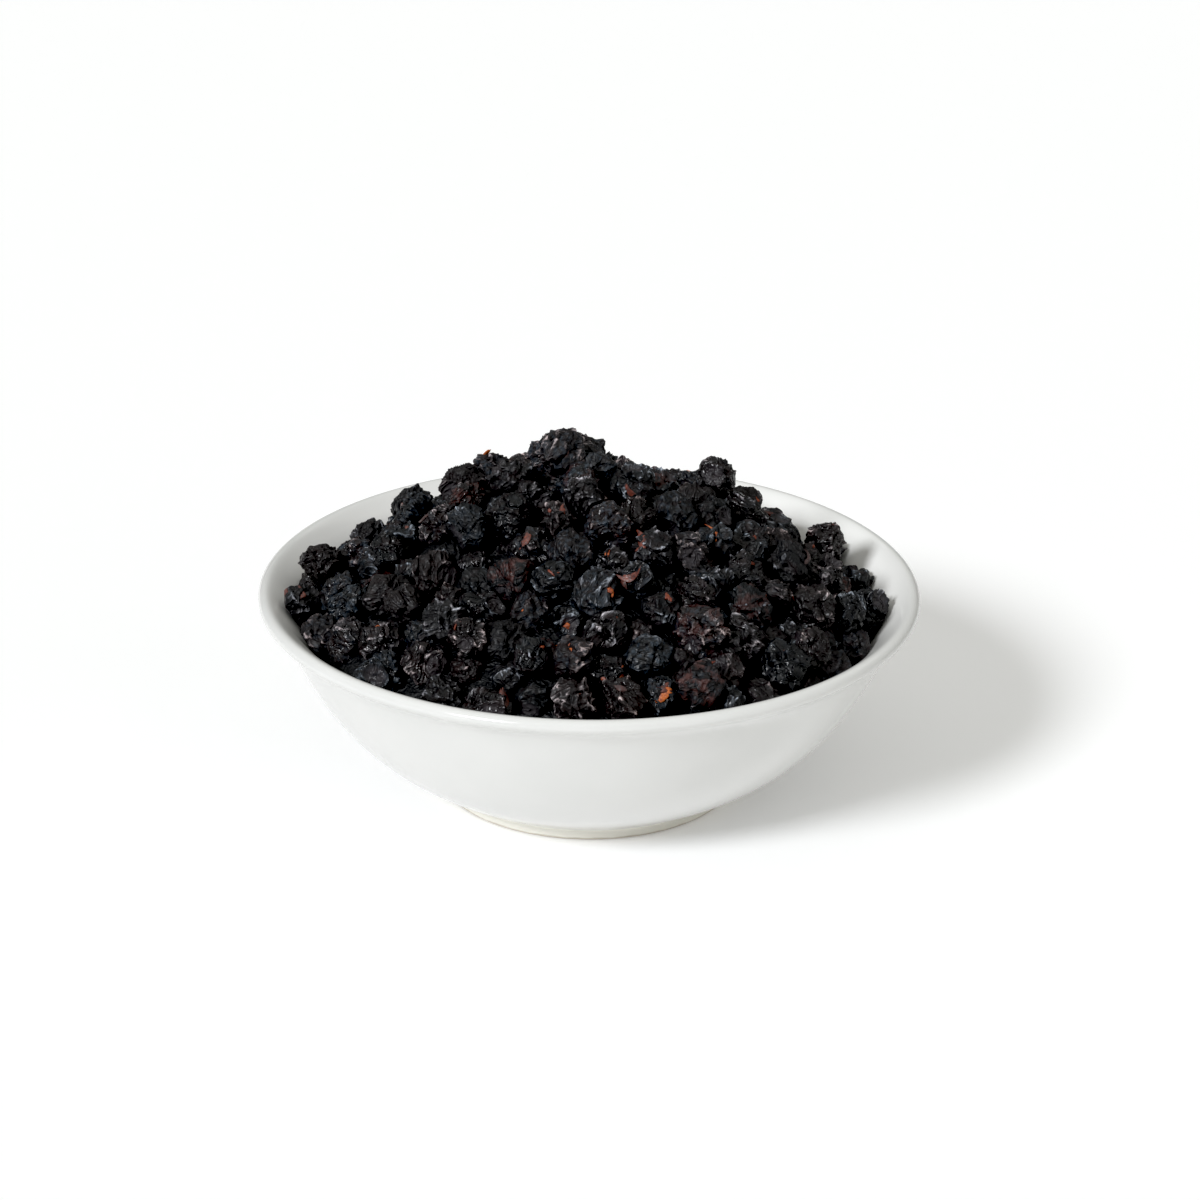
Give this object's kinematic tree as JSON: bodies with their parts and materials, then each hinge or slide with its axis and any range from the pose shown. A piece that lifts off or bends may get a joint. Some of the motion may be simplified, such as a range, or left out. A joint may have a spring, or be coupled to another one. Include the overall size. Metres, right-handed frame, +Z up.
{
  "type": "bowl of dried blueberries",
  "caption": "Round white glazed bowl on a foot ring, heaped above its rim with small wrinkled dried blueberries.",
  "frame": {"origin": "centre of the bowl's foot, on the surface that the bowl stands on", "axes": "+Z up along the bowl's axis, +Y away from the viewer of the picture, +X to the viewer's right"},
  "size_m": [0.12, 0.12, 0.0669],
  "materials": {
    "glazed_porcelain": "gloss",
    "dried_blueberry": "matte"
  },
  "bodies": {
    "root": {"bowl": "glazed_porcelain", "blueberries": "dried_blueberry"}
  },
  "joints": []
}
